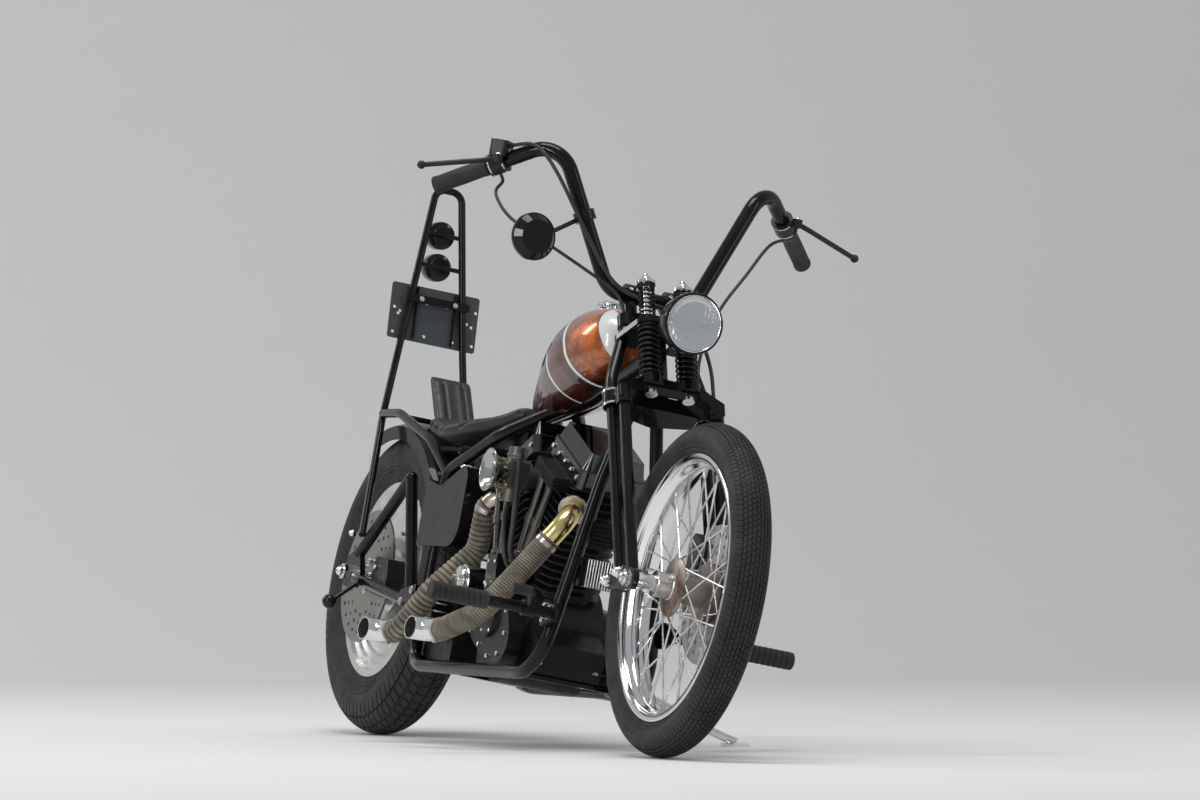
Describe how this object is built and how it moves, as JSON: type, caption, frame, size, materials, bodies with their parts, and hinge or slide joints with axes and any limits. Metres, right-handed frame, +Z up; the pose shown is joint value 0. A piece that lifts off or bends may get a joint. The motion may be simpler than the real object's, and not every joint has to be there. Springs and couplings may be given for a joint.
{
  "type": "chopper motorcycle",
  "caption": "Black chopper with a springer fork, tall handlebar, V-twin engine, teardrop tank, solo seat and high sissy bar, parked on its side stand.",
  "frame": {"origin": "middle of the footprint, on the ground, with the machine leaning on its side stand", "axes": "+X forward, +Y to the rider's left, +Z up"},
  "size_m": [2.3328, 1.0721, 1.2789],
  "materials": {
    "bell_metal": "polished",
    "belt_rubber": "matte",
    "caliper_black": "satin",
    "candy_orange": "gloss",
    "carb_metal": "satin",
    "chrome": "polished",
    "clear_glass": "clear",
    "cooler_black": "satin",
    "disc_steel": "brushed",
    "disc_wheel": "satin",
    "engine_black": "satin",
    "fin_metal": "satin",
    "frame_black": "gloss",
    "grip_rubber": "matte",
    "hub_metal": "satin",
    "lamp_black": "gloss",
    "lens_red": "gloss",
    "mirror_black": "gloss",
    "mirror_face": "mirror",
    "pipe_wrap": "wrapped",
    "plate_grey": "satin",
    "polished_dark": "polished",
    "rim_silver": "polished",
    "seat_leather": "satin",
    "spring_black": "gloss",
    "tyre_rubber": "matte"
  },
  "bodies": {
    "chassis": {"drive_belt": "belt_rubber", "rear_axle": "chrome", "swingarm": "frame_black", "frame_spine": "frame_black", "frame_cradle": "frame_black", "rear_fender": "frame_black", "crankcase": "engine_black", "cam_cover": "engine_black", "cylinders": "fin_metal", "rocker_boxes": "polished_dark", "pushrod_tubes": "chrome", "carburettor": "carb_metal", "intake_bell": "bell_metal", "exhaust_pipes": "pipe_wrap", "primary_cover": "engine_black", "transmission": "engine_black", "starter": "chrome", "oil_tank": "frame_black", "finned_coolers": "cooler_black", "chassis_cables": "grip_rubber", "fuel_tank": "candy_orange", "filler_caps": "chrome", "seat": "seat_leather", "seat_springs": "spring_black", "backrest_pad": "seat_leather", "sissy_bar": "frame_black", "tail_lamps": "lamp_black", "tail_lenses": "lens_red", "plate_bracket": "plate_grey", "rear_blinkers": "lamp_black", "rear_caliper": "caliper_black", "foot_controls": "frame_black", "peg_rubbers": "grip_rubber"},
    "fork": {"rigid_fork": "frame_black", "spring_fork": "frame_black", "fork_springs": "spring_black", "rockers": "frame_black", "fork_hardware": "chrome", "headlamp": "lamp_black", "headlamp_glass": "clear_glass", "handlebar": "frame_black", "grips": "grip_rubber", "bar_controls": "caliper_black", "mirror_shell": "mirror_black", "mirror_glass": "mirror_face", "front_caliper": "caliper_black", "control_cables": "grip_rubber"},
    "front_wheel": {"front_tyre": "tyre_rubber", "front_rim": "rim_silver", "front_hub": "hub_metal", "front_brake_disc": "disc_steel"},
    "rear_wheel": {"rear_tyre": "tyre_rubber", "rear_wheel": "disc_wheel", "rear_brake_disc": "disc_steel", "rear_pulley": "engine_black"},
    "side_stand": {"side_stand": "chrome"}
  },
  "joints": [
    {"name": "steering", "type": "hinge", "parent": "chassis", "child": "fork", "pos_m": [0.40907, -0.02682, 0.79815], "axis": [-0.5225, 0.1598, 0.8375], "range_deg": [-32, 32]},
    {"name": "front_wheel_spin", "type": "hinge", "parent": "fork", "child": "front_wheel", "pos_m": [0.8185, -0.11365, 0.34301], "axis": [0, 0.9823, -0.1874], "continuous": true},
    {"name": "rear_wheel_spin", "type": "hinge", "parent": "chassis", "child": "rear_wheel", "pos_m": [-0.8315, -0.11608, 0.33024], "axis": [0, 0.9823, -0.1874], "continuous": true},
    {"name": "side_stand_swing", "type": "hinge", "parent": "chassis", "child": "side_stand", "pos_m": [0.1085, 0.02681, 0.11871], "axis": [0, 0.1874, 0.9823], "range_deg": [0, 88]}
  ]
}
